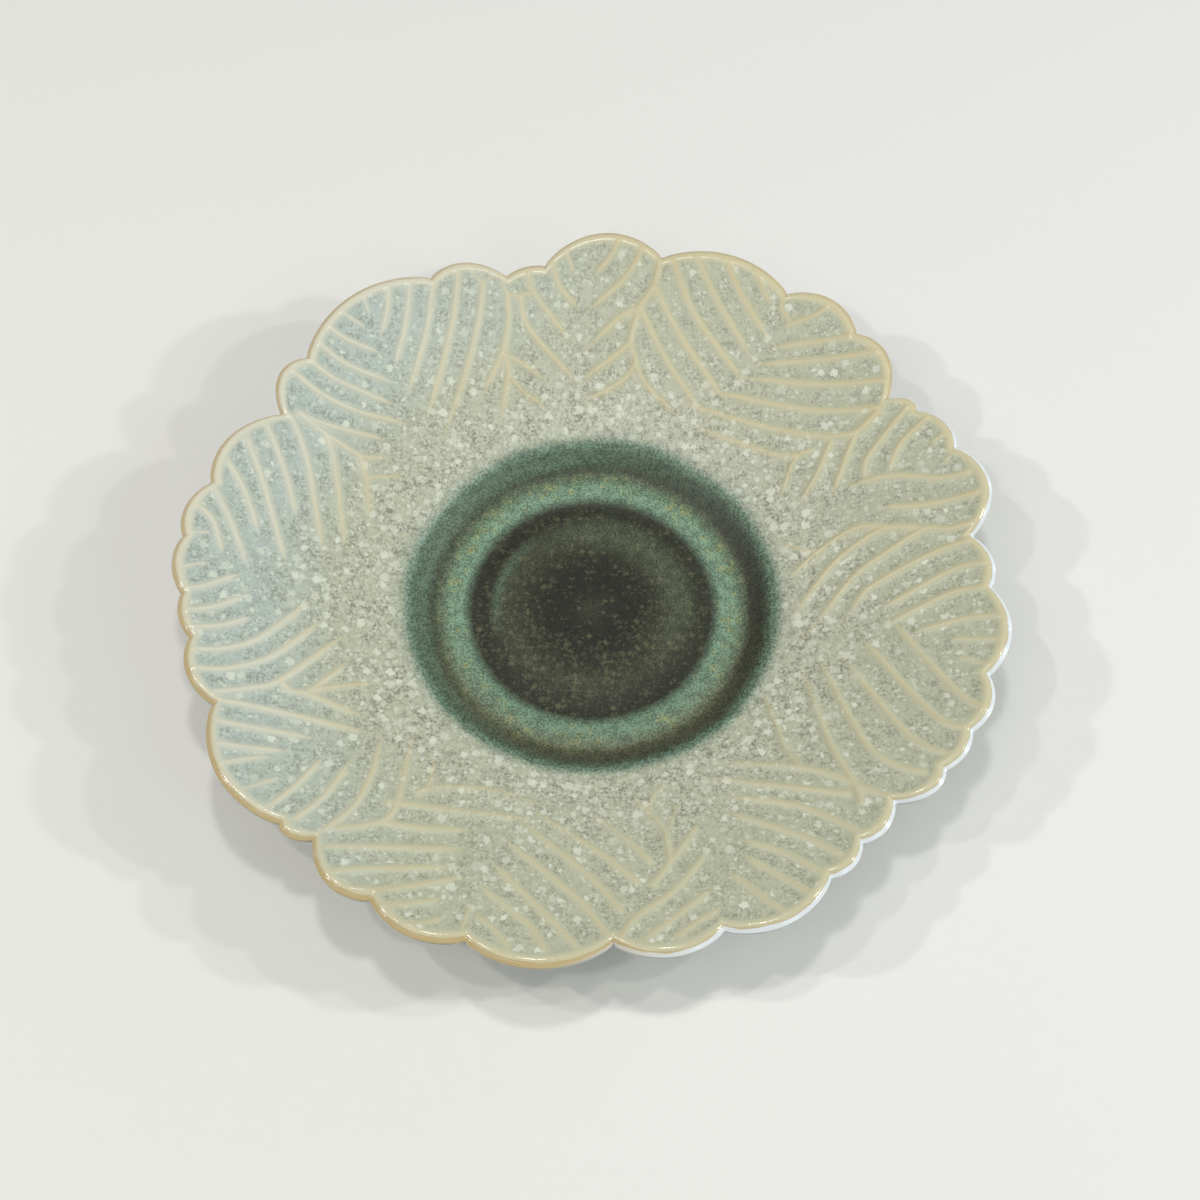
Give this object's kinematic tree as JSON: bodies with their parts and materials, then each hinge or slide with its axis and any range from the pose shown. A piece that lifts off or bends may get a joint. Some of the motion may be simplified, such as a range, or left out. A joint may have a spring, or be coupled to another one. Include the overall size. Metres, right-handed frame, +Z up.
{
  "type": "salad plate",
  "caption": "Round stoneware salad plate with a scalloped rim, fans of carved leaves on a shallow flare, a dark pooled well and a turned foot ring.",
  "frame": {"origin": "on the table under the wheel axis, at the middle of the foot ring's tread", "axes": "+Z up out of the well, +X to the right and +Y away from the viewer in the picture"},
  "size_m": [0.1966, 0.1956, 0.0272],
  "materials": {
    "bare_stoneware": "satin buff clay, bare at the lip",
    "foot_stoneware": "matt bare clay",
    "leaf_glaze": "satin pale sage glaze with light crystals, cream where it breaks over the ribs",
    "well_glaze": "satin olive-black pooled glaze with a jade ring",
    "underside_glaze": "satin pale sage glaze"
  },
  "bodies": {
    "root": {"plate_body": "bare_stoneware", "foot_ring": "foot_stoneware", "leaf_glaze": "leaf_glaze", "well_glaze": "well_glaze", "underside_glaze": "underside_glaze"}
  },
  "joints": []
}
